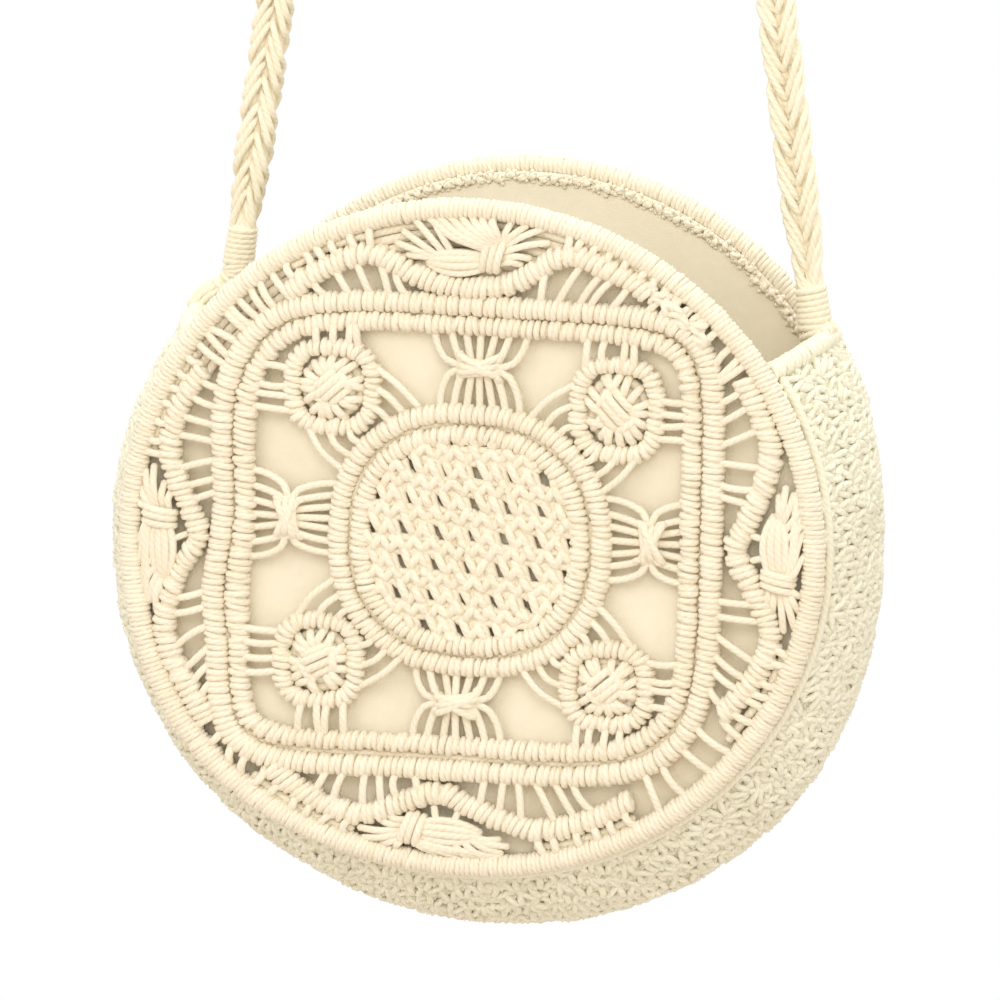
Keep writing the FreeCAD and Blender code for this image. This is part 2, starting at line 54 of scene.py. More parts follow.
RIM_DEPTH = 40.0
OVAL_U = 1.028
OVAL_V = {"front": 0.972, "back": 1.005}
RIM_LINE = 105.7
# The front hoop's push outwards: how far, the angle of its middle and its spread
BULGE = 4.5
BULGE_AT = 222.0
BULGE_SPREAD = 27.0
# Where the front's knots bow to the left: how far, the middle, and the width and height that it fades over
BOWS = ((2.9, -78, -21, 11, 15), (1.7, -77, 37, 11, 19))
FRONT = np.array((0.0, 0.0, 1.0))
SIDE = {-1: "left", 1: "right"}
FACE = {-1: "front", 1: "back"}


def unit(vectors):
    return vectors / np.maximum(np.linalg.norm(vectors, axis=-1, keepdims=True), 1e-9)


def circle(count):
    """Angles spaced evenly over a whole turn."""
    return np.arange(count) * TURN / count


def distances(line):
    """How far along a line each of its points is."""
    return np.concatenate([[0], np.cumsum(np.linalg.norm(np.diff(line, axis=0), axis=1))])


def sample(at, far, line):
    """A line's values at places along it, where far is the place of each of its points."""
    return np.stack([np.interp(at, far, line[:, k]) for k in range(line.shape[1])], -1)


def curve(knots, count):
    """Smooth curves through knots, shape (paths, knots, 3), each sampled at count points."""
    knots = np.asarray(knots, float)
    if knots.ndim == 2:
        knots = knots[None]
    first = 2 * knots[:, :1] - knots[:, 1:2]
    last = 2 * knots[:, -1:] - knots[:, -2:-1]
    ends = np.concatenate([first, knots, last], 1)
    along = np.linspace(0, knots.shape[1] - 1, count)
    index = np.minimum(along.astype(int), knots.shape[1] - 2)
    f = (along - index)[None, :, None]
    a, b, c, d = (ends[:, index + k] for k in range(4))
    return 0.5 * (2 * b + (c - a) * f + (2 * a - 5 * b + 4 * c - d) * f**2 + (3 * b - a - 3 * c + d) * f**3)


def stations(line, pitch, closed=False):
    """Points and directions at an even spacing of about pitch along a line."""
    if closed:
        line = np.vstack([line, line[:1]])
    far = distances(line)
    number = max(2, round(far[-1] / pitch))
    at = (np.arange(number) + 0.5) * far[-1] / number
    look = 0.4 * pitch

    def place(distance):
        if closed:
            distance = distance % far[-1]
        return sample(distance, far, line)

    return place(at), unit(place(at + look) - place(at - look))


def superellipse(half_u, half_v, power, centre=(0.0, 0.0), depth=0.0, count=1440):
    """A closed line between an ellipse and a rectangle. Its power is one, or four for its quarters from the
    upper right on."""
    angle = circle(count)
    power = np.repeat(np.broadcast_to(power, 4), count // 4)
    c, s = np.cos(angle), np.sin(angle)
    u = centre[0] + half_u * np.sign(c) * np.abs(c) ** (2 / power)
    v = centre[1] + half_v * np.sign(s) * np.abs(s) ** (2 / power)
    return np.stack([u, v, np.full(count, depth)], 1)


def quarter(points, turns):
    """Panel points turned clockwise by quarter turns."""
    points = np.array(points, float)
    for _ in range(turns % 4):
        points[..., 0], points[..., 1] = points[..., 1].copy(), -points[..., 0].copy()
    return points


def square_knot(width, height, rise, count):
    """The two working cords of a square knot around a core along v; the first passes in front twice."""
    over = ((-1, 1, 0), (-0.95, 0.62, 0.35), (0, 0.36, 1), (0.95, 0.2, 0.3), (1.05, 0, -0.3),
            (0.95, -0.2, 0.3), (0, -0.36, 1), (-0.95, -0.62, 0.35), (-1, -1, 0))
    under = ((1, 1, 0), (0.9, 0.65, 0.8), (0.55, 0.3, -0.5), (-0.6, 0.12, -0.5), (-1.0, 0, 0.55),
             (-0.6, -0.12, -0.5), (0.55, -0.3, -0.5), (0.9, -0.65, 0.8), (1, -1, 0))
    return curve(np.array([over, under]) * (width, height, rise), count)


class Cords:
    """Tubes gathered into one mesh, with a UV of length and turn, and a tint for each cord."""

    def __init__(self, seed):
        self.random = np.random.default_rng(seed)
        self.points, self.faces, self.uvs, self.tints = [], [], [], []
        self.size = 0

    def jitter(self, scale, *shape):
        return self.random.normal(0, scale, shape)

    def add(self, paths, radius, sides=6, closed=False):
        """Tubes along paths, shape (paths, steps, 3), with bevelled ends unless closed."""
        paths = np.asarray(paths, float)
        if paths.ndim == 2:
            paths = paths[None]
        number = paths.shape[0]
        radius = np.broadcast_to(np.asarray(radius, float).reshape(-1, 1), (number, 1))
        radii = np.repeat(radius, paths.shape[1], 1)
        if closed:
            along = unit(np.roll(paths, -1, 1) - np.roll(paths, 1, 1))
        else:
            along = unit(np.gradient(paths, axis=1))
            reach = 0.6 * radius[:, :, None]
            first = paths[:, :1] - along[:, :1] * reach
            last = paths[:, -1:] + along[:, -1:] * reach
            paths = np.concatenate([first, paths, last], 1)
            along = np.concatenate([along[:, :1], along, along[:, -1:]], 1)
            radii = np.concatenate([0.5 * radius, radii, 0.5 * radius], 1)
        steps = paths.shape[1]
        normal = np.empty_like(along)
        guide = np.where(np.abs(along[:, 0, 2:3]) < 0.9, FRONT, np.array((1.0, 0.0, 0.0)))
        for i in range(steps):
            guide = unit(guide - (guide * along[:, i]).sum(1, keepdims=True) * along[:, i])
            normal[:, i] = guide
        across = np.cross(along, normal)
        angle = circle(sides)
        ring = (np.cos(angle)[:, None] * normal[:, :, None] + np.sin(angle)[:, None] * across[:, :, None])
        points = paths[:, :, None] + radii[:, :, None, None] * ring
        spans = steps if closed else steps - 1
        i = np.arange(spans)[:, None]
        k = np.arange(sides)[None]
        ahead = (i + 1) % steps
        beside = (k + 1) % sides
        quad = np.stack([i * sides + k, i * sides + beside, ahead * sides + beside, ahead * sides + k], -1)
        base = self.size + np.arange(number) * steps * sides
        step = np.linalg.norm(np.diff(paths, axis=1, append=paths[:, :1]), axis=2)
        length = np.concatenate([np.zeros((number, 1)), np.cumsum(step, 1)], 1)
        length += self.random.uniform(0, 40, (number, 1))
        near, far = length[:, :spans], length[:, 1:spans + 1]
        corner_u = np.stack([near, near, far, far], -1)
        corner_u = np.broadcast_to(corner_u[:, :, None], (number, spans, sides, 4))
        corner_v = np.stack([k, k + 1, k + 1, k], -1) / sides
        corner_v = np.broadcast_to(corner_v[None], (number, spans, sides, 4))
        self.faces.append((quad[None] + base[:, None, None, None]).reshape(-1, 4))
        self.uvs.append(np.stack([corner_u, corner_v], -1).reshape(-1, 2))
        if not closed:
            start = base[:, None] + np.arange(sides)[::-1]
            end = base[:, None] + (steps - 1) * sides + np.arange(sides)
            for caps in (start, end):
                self.faces.append(caps)
                self.uvs.append(np.zeros((caps.size, 2)))
        self.points.append(points.reshape(-1, 3))
        self.tints.append(np.repeat(np.clip(self.jitter(0.35, number), -1, 1), steps * sides))
        self.size += number * steps * sides

    def hitches(self, line, ridge, cord, pitch, slant, closed=False, out=FRONT, pairs=0.06, wild=1.0):
        """A ridge of double half hitches: loops of cord side by side around a line, in pairs. Wild scales
        their unevenness."""
        centre, along = stations(line, pitch, closed)
        number = len(centre)
        side = unit(np.cross(np.broadcast_to(out, along.shape), along))
        up = np.cross(along, side)
        pair = np.where(np.arange(number) % 2, -1, 1)[:, None] * pairs * pitch
        centre = centre + along * (pair + self.jitter(0.05 * pitch * wild, number, 1))
        centre = centre + up * self.jitter(0.12 * wild, number, 1) + side * self.jitter(0.1 * wild, number, 1)
        angle = circle(12)
        loop = (ridge - cord) * (1 + self.jitter(0.035 * wild, number, 1))
        lean = (slant + self.jitter(0.08 * wild, number, 1)) * loop
        ring = (centre[:, None] + side[:, None] * (loop * np.cos(angle))[:, :, None]
                + up[:, None] * (loop * np.sin(angle))[:, :, None]
                + along[:, None] * (lean * np.cos(angle))[:, :, None])
        self.add(ring, cord * (1 + self.jitter(0.06 * wild, number)), closed=True)
        points, _ = stations(line, 3.0, closed)
        self.add(points, ridge - cord, sides=8, closed=closed)

    def mesh(self, name, place):
        """The gathered tubes as a mesh, with place taking their points to the frame in millimetres."""
        mesh = bpy.data.meshes.new(name)
        points = place(np.concatenate(self.points)) * MM
        faces = [face for part in self.faces for face in part.tolist()]
        mesh.from_pydata(points.tolist(), [], faces, shade_flat=False)
        uv = mesh.uv_layers.new(name="cord")
        uv.data.foreach_set("uv", np.concatenate(self.uvs).astype(np.float32).ravel())
        tint = mesh.attributes.new("tint", "FLOAT", "POINT")
        tint.data.foreach_set("value", np.concatenate(self.tints).astype(np.float32))
        mesh.validate()
        return mesh


def bulge(angle):
    """How far the front hoop, which isn't quite round, is pushed out at an angle about its middle."""
    away = (np.degrees(angle) - BULGE_AT + 180) % 360 - 180
    return BULGE * np.exp(-((away / BULGE_SPREAD) ** 2))


def on_front(points):
    """Panel points taken to the front panel, with its bows and its push outwards."""
    u, v, d = points.T
    for size, at_u, at_v, wide, tall in BOWS:
        u = u - size * np.exp(-((u - at_u) / wide) ** 2 - ((v - at_v) / tall) ** 2)
    stretch = 1 + bulge(np.arctan2(v, u)) / RIM_LINE * (np.hypot(u, v) / RIM_LINE) ** 3
    return np.stack([u * stretch * OVAL_U, -RIM_DEPTH - d, CENTRE_Z + v * stretch * OVAL_V["front"]], 1)


def on_back(points):
    """Panel points taken to the back panel."""
    u, v, d = points.T
    return np.stack([-u * OVAL_U, RIM_DEPTH + d, CENTRE_Z + v * OVAL_V["back"]], 1)


def in_frame(points):
    return points


def turned_back(points):
    return points * (-1, -1, 1)


def new_object(name, data):
    made = bpy.data.objects.new(name, data)
    bpy.context.scene.collection.objects.link(made)
    return made


def add_object(mesh, material):
    mesh.materials.append(material)
    return new_object(mesh.name, mesh)


def dress_panels(name, build, material, node=None, places=(on_front, on_back)):
    """A piece on each panel: build makes its mesh, given its name and what takes its points to the frame."""
    pieces = []
    for side, place in zip(("front", "back"), places):
        piece = add_object(build(f"{side}_{name}", place), material)
        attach(piece, f"{side}_panel")
        if node:
            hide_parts(f"{side}_{node}")
        pieces.append(piece)
    return pieces


# Materials

def feed(tree, node, feeds):
    """Link outputs to a node's sockets, or set the sockets' values."""
    for key, value in feeds.items():
        if isinstance(value, bpy.types.NodeSocket):
            tree.links.new(value, node.inputs[key])
        else:
            node.inputs[key].default_value = value


def make(tree, kind, feeds=None, **settings):
    """A new node's outputs."""
    node = tree.nodes.new("ShaderNode" + kind)
    for key, value in settings.items():
        setattr(node, key, value)
    feed(tree, node, feeds or {})
    return node.outputs


def calc(tree, operation, *values):
    return make(tree, "Math", dict(enumerate(values)), operation=operation)[0]


def noise(tree, where, scale, detail):
    return make(tree, "TexNoise", {"Vector": where, "Scale": scale, "Detail": detail})[0]


def mix_colours(tree, factor, dark, light):
    return make(tree, "Mix", {0: factor, 6: (*dark, 1), 7: (*light, 1)}, data_type="RGBA")[2]


def new_material(name):
    material = bpy.data.materials.new(name)
    material.use_nodes = True
    return material, material.node_tree, material.node_tree.nodes["Principled BSDF"]


def set_cotton(tree, shader, height, bump, depth, sheen):
    """The finish of cotton: fine relief and a soft sheen."""
    relief = make(tree, "Bump", {"Strength": bump, "Distance": depth, "Height": height})
    feed(tree, shader, {"Normal": relief[0], "Specular IOR Level": 0.2, "Sheen Weight": sheen,
                        "Sheen Roughness": 0.5})


def cotton_cord(name, dark, light, plies=3, lay=0.42):
    """Twisted cotton: plies that wind along the cord, with painted shade in the grooves between them, loose
    fibres, and a shade of its own for each cord.
    """
    material, tree, shader = new_material(name)
    uv = make(tree, "UVMap", uv_map="cord")[0]
    split = make(tree, "SeparateXYZ", {0: uv})
    wind = calc(tree, "MULTIPLY_ADD", split[1], plies * TURN, calc(tree, "MULTIPLY", split[0], lay * TURN))
    ply_and_painted_shade = calc(tree, "ABSOLUTE", calc(tree, "SINE", calc(tree, "MULTIPLY", wind, 0.5)))
    stretched = make(tree, "Mapping", {"Vector": uv, "Scale": (0.9, 9.0, 1.0)})[0]
    fibre = noise(tree, stretched, 1.6, 3.0)
    patch = noise(tree, make(tree, "TexCoord")["Object"], 38.0, 2.0)
    tint = make(tree, "Attribute", attribute_name="tint")["Fac"]
    # The plies darken the colour in the grooves between them: painted shade in the grooves. The fibres, each
    # cord's tint and the patches are the cotton's own tone.
    shade = calc(tree, "MULTIPLY_ADD", ply_and_painted_shade, 0.28, calc(tree, "MULTIPLY", fibre, 0.34))
    shade = calc(tree, "MULTIPLY_ADD", tint, 0.2, shade)
    shade = calc(tree, "MULTIPLY_ADD", patch, 0.5, shade)
    feed(tree, shader, {"Base Color": mix_colours(tree, shade, dark, light),
                        "Roughness": calc(tree, "MULTIPLY_ADD", fibre, 0.2, 0.72)})
    set_cotton(tree, shader, calc(tree, "MULTIPLY_ADD", fibre, 0.7, ply_and_painted_shade), 0.45, 0.0003, 0.2)
    return material


def woven_cloth(name, dark, light, thread=0.00045):
    """Plain weave: crossing threads, slubs and soft creases, with painted shade darkening the creases'
    hollows.
    """
    material, tree, shader = new_material(name)
    where = make(tree, "TexCoord")["Object"]
    split = make(tree, "SeparateXYZ", {0: where})
    warp, weft = (calc(tree, "SINE", calc(tree, "MULTIPLY", split[k], math.pi / thread)) for k in (0, 2))
    weave = calc(tree, "MULTIPLY", warp, weft)
    slub = noise(tree, where, 320.0, 3.0)
    crease_and_painted_shade = noise(tree, where, 26.0, 2.0)
    shade = calc(tree, "MULTIPLY_ADD", weave, 0.1, calc(tree, "MULTIPLY", slub, 0.4))
    # The creases darken the colour where they sink: painted shade in the creases. The weave and slubs are the
    # cloth's own tone.
    shade = calc(tree, "MULTIPLY_ADD", crease_and_painted_shade, 0.7, shade)
    feed(tree, shader, {"Base Color": mix_colours(tree, shade, dark, light),
                        "Roughness": calc(tree, "MULTIPLY_ADD", slub, 0.2, 0.7)})
    height = calc(tree, "MULTIPLY_ADD", crease_and_painted_shade, 6.0, calc(tree, "MULTIPLY_ADD", weave, 0.5, slub))
    set_cotton(tree, shader, height, 0.35, 0.0002, 0.15)
    return material


def worn_metal(name, dark, light, metallic, rough):
    material, tree, shader = new_material(name)
    wear = noise(tree, make(tree, "TexCoord")["Object"], 240.0, 4.0)
    feed(tree, shader, {"Base Color": mix_colours(tree, wear, dark, light), "Metallic": metallic,
                        "Roughness": calc(tree, "MULTIPLY_ADD", wear, 0.2, rough)})
    return material


panel_cord = cotton_cord("panel_cord", (0.81, 0.71, 0.52), (0.95, 0.88, 0.715))
gusset_cord = cotton_cord("gusset_cord", (0.8, 0.75, 0.56), (0.96, 0.93, 0.755))
strap_cord = cotton_cord("strap_cord", (0.82, 0.73, 0.52), (0.97, 0.9, 0.71))
lining_cloth = woven_cloth("lining_cloth", (0.8, 0.715, 0.535), (0.93, 0.865, 0.695))
snap_metal = worn_metal("snap_metal", (0.55, 0.54, 0.52), (0.78, 0.77, 0.75), 1.0, 0.22)
hoop_paint = worn_metal("hoop_paint", (0.55, 0.52, 0.46), (0.78, 0.75, 0.68), 0.0, 0.4)

for node_name in ("front_snap_stud", "back_snap_socket"):
    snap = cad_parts[node_name]
    snap.data.materials.clear()
    snap.data.materials.append(snap_metal)


# Panel pieces

RIM_WRAP_LINE = 106.6
RIM_RADIUS = 3.7
RIM_INSIDE = 103.6
# Half the thickness of each kind of ridge
OUTER_RIDGE = 3.75
INNER_RIDGE = 3.45
MEDALLION_RIDGE = 3.45
CHEVRON = 4.0
MEDALLION_MIDDLE = (0.0, -0.5)
# Closed ridges: half sizes, powers of the quarters and middle
FRAME_OUTER = (76.25, 75.7, (7.5, 4.6, 6.8, 4.3), (-1.05, 0.0))
FRAME_INNER = (69.5, 68.45, (8.5, 4.9, 9.0, 4.8), (-1.2, 0.75))
MEDALLION_OUTER = (41.2, 41.2, 2.35, MEDALLION_MIDDLE)
MEDALLION_INNER = (34.3, 34.3, 2.35, MEDALLION_MIDDLE)
LINING_DEPTH = -3.5
LINING_EDGE = 105.2
# The snap's patches: radius, height above the panels' middle and the face that they lie on
PATCH_RADIUS = 13.0
SNAP_Z = 80.1
PATCH_Y = -36.0


def polar(angles, radii, depth):
    """Panel points from angles clockwise of the top, in degrees, and radii."""
    angles = np.radians(np.asarray(angles, float))
    depth = np.broadcast_to(depth, angles.shape)
    return np.stack([radii * np.sin(angles), radii * np.cos(angles), depth], -1)


def rim_cords():
    cords = Cords(1)
    line = superellipse(RIM_WRAP_LINE, RIM_WRAP_LINE, 2.0)
    cords.hitches(line, RIM_RADIUS, cord=0.95, pitch=1.5, slant=0.1, closed=True, pairs=0.0, wild=0.8)
    return cords


def rim_wire():
    cords = Cords(2)
    cords.add(superellipse(RIM_WRAP_LINE, RIM_WRAP_LINE, 2.0, count=180), 2.0, sides=10, closed=True)
    return cords


def ridge_cords(shape, ridge, seed, pitch, slant, wild=1.0, beside=None):
    """A closed ridge; beside is the shape of its neighbour, towards which a cord fills the gap."""
    cords = Cords(seed)
    line = superellipse(*shape, ridge - INNER_RIDGE)
    cords.hitches(line, ridge, cord=1.1, pitch=pitch, slant=slant, closed=True, wild=wild)
    if beside:
        cords.add(0.5 * (line + superellipse(*beside))[::6] - (0, 0, 1.5), 1.5, closed=True)
    return cords


# Each side's ridge between frame and rim, as angles from the side's middle and radii
CHEVRONS = (((-37, 96), (-32, 97), (-26, 97.3), (-21, 97), (-17.5, 94), (-14.5, 89.3), (-10, 84.7), (-5, 82),
             (0, 81.4), (5, 82.4), (10, 86.6), (13, 91.5), (15.5, 96), (19, 98.7), (25, 98.9), (30, 99.2),
             (33.5, 98.6)),
            ((-34.5, 101), (-30, 100.6), (-22, 99.6), (-17, 96), (-12, 91), (-7, 86.4), (-2, 82.6), (3, 85.4),
             (8, 90.6), (13, 96), (18, 98), (25, 97), (33, 94.6)),
            ((-33, 96.5), (-26, 97.2), (-18, 97), (-13, 95.8), (-8, 92), (-1, 87), (5, 83.5), (10, 86.8),
             (15, 92), (19, 96.4), (24, 98), (31, 98), (38, 96.8)),
            ((-38, 100), (-30, 100.6), (-23, 100.6), (-19, 99), (-14, 94.6), (-9, 89.4), (-3.5, 84.4),
             (1.5, 87), (6, 90.6), (10.5, 95), (14.5, 97.6), (22, 98.8), (31, 97.6)))
# The single cords from that ridge in to the frame, as the angles of their two ends
LADDERS = (((-31.5, -30.5), (-27.2, -26.5), (-23, -22.6), (-18.6, -18.8), (-16, -14.9), (14, 15),
            (20.4, 18.8), (24, 22.5), (26.4, 25.2), (29.5, 28.6)),
           ((-33, -32.7), (-29, -29), (-25, -24.7), (-17.5, -21.4), (-14.2, -17), (-11, -14), (9.3, 10.4),
            (12.7, 14.4), (20.5, 18.5), (24.3, 22.4), (27.4, 26), (31.3, 29.6)),
           ((-25.5, -24), (-22, -20), (-18, -16), (-11, -12.4), (-7.2, -8.8), (-3.2, -4.6), (9.6, 11.6),
            (13, 15.4), (16.4, 19), (19.2, 22), (24.4, 25.4), (29, 29)),
           ((-35, -33), (-32, -30), (-28.6, -26.5), (-24.6, -23), (-18.4, -19), (-15.4, -15.6), (4.5, 7),
            (7, 10.4), (10.6, 14.4), (17, 18.5), (20.6, 22), (25, 26), (29, 29.4)))
# Where short cords run from the ridge out to the rim: from, to and the step between them
STUBS = (((-34, -19, 2.9), (16, 34, 2.8)), ((17, 36, 2.8),), ((-31, -13, 3.5), (20, 39, 3.7)),
         ((12, 32, 3.2),))
# Angles, from each side's middle, of the cords from the frame's corners to the rim
CORNER_CORDS = ((35, 36.8, 38.6, 40.4, 42.2, 44, 46, 50, 52, 54), (38, 43, 48, 53), (41, 44.5, 48, 51.5),
                (34, 36.2, 38.4, 40.6, 42.8, 45, 47.4, 50, 52.6))
# Radii of the arcs that close the ground behind the top eye and in the upper left corner
TOP_EYE_ARCS = (86, 89.2, 92.4, 95.6, 98.8, 102)
CORNER_ARCS = (96, 99.2, 102.4)
ARC_DEPTH = -1.9
ARC_CORD = 1.7


def chevron_cords():
    cords = Cords(7)
    for side, knots in enumerate(CHEVRONS):
        line = curve(polar(*zip(*knots), CHEVRON - INNER_RIDGE), 220)[0]
        cords.hitches(quarter(line, side), CHEVRON, cord=1.15, pitch=2.15, slant=0.2, wild=1.3)
    return cords


def frame_radius(angle):
    """How far out the outer frame's middle line is at an angle clockwise of the top."""
    line = superellipse(*FRAME_OUTER)
    turn = np.degrees(np.arctan2(line[:, 0], line[:, 1]))
    return np.interp(angle, turn, np.hypot(line[:, 0], line[:, 1]), period=360)


def small_knot(cords, radius, angle, depth, size):
    """A little knot turned any way, at an angle clockwise of the top."""
    knot = square_knot(size, 1.2 * size, 0.8 * size, 11) + cords.jitter(0.15, 2, 1, 3)
    spin = cords.random.uniform(0, TURN)
    turned = np.stack([knot[..., 0] * math.cos(spin) - knot[..., 1] * math.sin(spin),
                       knot[..., 0] * math.sin(spin) + knot[..., 1] * math.cos(spin), knot[..., 2]], -1)
    return turned + polar(angle, radius, depth)


def bridge(cords, angles, radii, thick):
    """One cord between two places given by angles and radii, bowed out of the panel and a little aside."""
    share = np.array((0.0, 0.35, 0.7, 1.0))
    turn = np.interp(share, (0, 1), angles) + np.array((0, 1, 1, 0)) * cords.jitter(0.25)
    cords.add(curve(polar(turn, np.interp(share, (0, 1), radii), (0.8, 2.3, 2.2, 0.8)), 10), thick)


def ladder_cords():
    """Single cords over the gaps beside the chevrons and in the corners, cords behind them that close the
    ground, and small knots at the upper right and inside the mouth's edge."""
    cords = Cords(8)
    for side, (ridge, ladder) in enumerate(zip(CHEVRONS, LADDERS)):
        turn = 90 * side
        ridge_angles, ridge_radii = zip(*ridge)
        for ends in ladder:
            outer, inner = np.array(ends) + cords.jitter(0.2, 2)
            radii = (np.interp(outer, ridge_angles, ridge_radii) - 1.2, frame_radius(turn + inner) + 1.6)
            bridge(cords, (turn + outer, turn + inner), radii, 1.25)
        for first, last, step in STUBS[side]:
            for angle in np.arange(first, last, step):
                angle += cords.jitter(0.35)
                radii = (np.interp(angle, ridge_angles, ridge_radii) + 1.4, RIM_INSIDE + 0.9)
                bridge(cords, (turn + angle, turn + angle + cords.jitter(0.5)), radii, 1.3)
            run = np.linspace(first, last, 40)
            middle = 0.5 * (np.interp(run, ridge_angles, ridge_radii) + CHEVRON + RIM_INSIDE)
            cords.add(polar(turn + run, middle, -0.6), 1.5)
        for angle in CORNER_CORDS[side]:
            outer = turn + angle + cords.jitter(0.6)
            inner = turn + angle + cords.jitter(0.6)
            bridge(cords, (outer, inner), (RIM_INSIDE + 0.6, frame_radius(inner) + 1.6), 1.3)
    ridge_angles, ridge_radii = zip(*CHEVRONS[0])
    run = np.linspace(-24, 22, 90)
    for radius in TOP_EYE_ARCS:
        inside = run[np.interp(run, ridge_angles, ridge_radii) + 1.5 < radius]
        cords.add(polar(inside, radius, ARC_DEPTH), ARC_CORD)
    run = 270 + np.linspace(30, 60, 60)
    for radius in CORNER_ARCS:
        inside = run[frame_radius(run) + 2.5 < radius]
        cords.add(polar(inside, radius, ARC_DEPTH), ARC_CORD)
    for angle in np.arange(35, 47, 2.1):
        cords.add(small_knot(cords, 100.2 + cords.jitter(0.8), angle, 2.3, 1.9), 1.15)
    for angle in np.arange(-64, 65, 1.9):
        knot = small_knot(cords, 103.4 + cords.jitter(0.3), angle, LINING_DEPTH - 0.7, 1.1)
        cords.add(knot, 0.9, sides=5)
    return cords


# Each eye knot's binding: its angle and radius, and how far out its leaf of cords lies from its middle
EYES = ((3.6, 93.6, -3), (4, 96.4, -0.4), (9.4, 96.8, -0.6), (0.8, 97.2, -0.4))
# Loose cords beyond the leaf's far end: root and tip along the rim, and how far out the tip is
EYE_FAN = ((-19.5, -27, 0.15), (-18.5, -29.5, 0.5), (-17, -27, 0.75), (-14.5, -23, 1),
           (-12, -18, 1))


def eye_cords():
    """A leaf of cords between each chevron and the rim, bound at one end, with loose cords around it."""
    cords = Cords(9)

    def lay(side, knots, thick=1.2, count=14, closed=False):
        """A cord through places given along the rim, out from the binding's middle and out of the panel."""
        angle, radius, _ = EYES[side]
        x, y, d = (np.array(knots, float) + cords.jitter(0.12, 1, 3)).T
        path = polar(angle + np.degrees(x / radius), radius + y, d)
        cords.add(quarter(path if closed else curve(path, count), side), thick, closed=closed)

    ring = circle(16)
    swell = np.linspace(0, 1, 7)
    belly = np.sin(math.pi * swell)
    for side, (_, radius, leaf) in enumerate(EYES):
        reach = RIM_INSIDE - radius
        for row in (-1.5, -0.5, 0.5, 1.5):
            y = leaf - 1.0 * belly + row * (0.5 + 1.75 * belly ** 0.7)
            d = 0.4 + (2.9 - 0.25 * row**2) * belly ** 0.6
            lay(side, np.stack([-21 + 21 * swell, y, d], 1), 1.35, 20)
        lay(side, np.stack([-18 + 16 * swell, leaf - 0.8 * belly, 0.2 + 0.8 * belly], 1), 2.2)
        for x in (-2.2, 0.0, 2.2):
            y = 0.45 * leaf + 4.7 * np.cos(ring)
            lay(side, np.stack([x + 0.7 * np.cos(ring), y, 1.3 + 2.9 * np.sin(ring)], 1), 1.25, closed=True)
        if side == 0:
            for k in range(7):
                lay(side, ((-0.6 + 0.4 * k, 0.2 + 0.5 * k, 2.0), (-6 + 1.1 * k, 2.2 + 0.8 * k, 4.2),
                           (-12.5 + 2.0 * k, 4.8 + 0.7 * k, 3.6), (-19 + 3.0 * k, reach + 0.6, 0.8)), 1.35)
        else:
            for end, share in ((-27.0, 0.95), (-22.0, 1.0), (-15.0, 1.05), (-9.0, 1.1)):
                lay(side, ((0, 2.6, 1.8), (0.35 * end, 0.62 * reach * share, 2.9),
                           (0.75 * end, 0.8 * reach * share, 2.0), (end, reach * share, 0.6)))
            for root, tip in ((-12.5, -14.5), (-8.5, -6.0)):
                middle = (0.5 * (root + tip), leaf - 5.0, 1.9)
                lay(side, ((root, leaf - 2.2, 1.6), middle, (tip, leaf - 8.2, 1.0)))
        for root, tip, out in EYE_FAN:
            y = leaf + 0.6 + out * (reach - leaf)
            middle = (0.5 * (root + tip), 0.5 * (leaf + y) + 0.6, 2.5)
            lay(side, ((root, leaf + 0.8, 1.2), middle, (tip, y, 0.6)))
        for root, tip_x, tip_y in ((-2.4, 9.0, -2.8), (-0.8, 11.0, -0.2), (0.8, 15.5, 0.6 * reach),
                                   (2.0, 13.5, reach), (3.2, 8.5, reach), (3.8, 4.0, reach)):
            middle = (0.55 * tip_x + 1.0, 0.5 * (root + tip_y) + 0.3, 2.5)
            lay(side, ((2.2, 0.4 * leaf + root, 1.4), middle, (tip_x, tip_y, 0.6)))
    return cords


# Each butterfly's sideways shift, the radii of its waist, inner end and outer end, and the ends' half spreads
BUTTERFLIES = ((2.4, 56, 42.5, 68.8, 12.4, 14.4), (-2.6, 56.2, 42.5, 67.6, 13, 12.6),
               (3.2, 53.2, 43, 66, 13, 13.6), (3.8, 56.4, 42.5, 69.6, 11.4, 14.2))


def butterfly_cords():
    """Cords gathered between frame and medallion and bound at a broad waist."""
    cords = Cords(10)
    waist_half = 5.0
    for side, (shift, waist, low, high, spread_low, spread_high) in enumerate(BUTTERFLIES):
        v = np.concatenate([np.linspace(low, waist, 8)[:-1], np.linspace(waist, high, 8)])
        inner = v < waist
        away = np.where(inner, (waist - v) / (waist - low), (v - waist) / (high - waist))
        spread = np.where(inner, spread_low, spread_high)
        for k in np.linspace(-1, 1, 7):
            arc = abs(k) * np.sqrt(away * (2 - away)) + (1 - abs(k)) * away
            u = shift + k * (waist_half + (spread - waist_half) * arc)
            path = curve(np.stack([u, v, -0.4 + 1.8 * (1 - away)], 1), 30) + cords.jitter(0.2, 1, 1, 3)
            cords.add(quarter(path, side), 1.25)
        at = np.array((shift, waist, 0.8))
        knot = square_knot(6.2, 4.2, 2.6, 21) + at + cords.jitter(0.15, 2, 1, 3)
        cords.add(quarter(knot, side), 1.3)
        for hand, lean in ((-1, 1.0), (1, 1.0), (-1, -0.4), (1, -0.4)):
            knots = [(-6.4 * hand, 3.8 * lean, 0.4), (-4.6 * hand, 3.2 * lean, 2.6), (0, 0.9 * lean, 3.4),
                     (4.0 * hand, -1.6 * lean, 2.8), (5.8 * hand, -2.6 * lean, 0.4)]
            cords.add(quarter(curve(np.array(knots) + at, 18) + cords.jitter(0.2, 1, 1, 3), side), 1.25)
    return cords


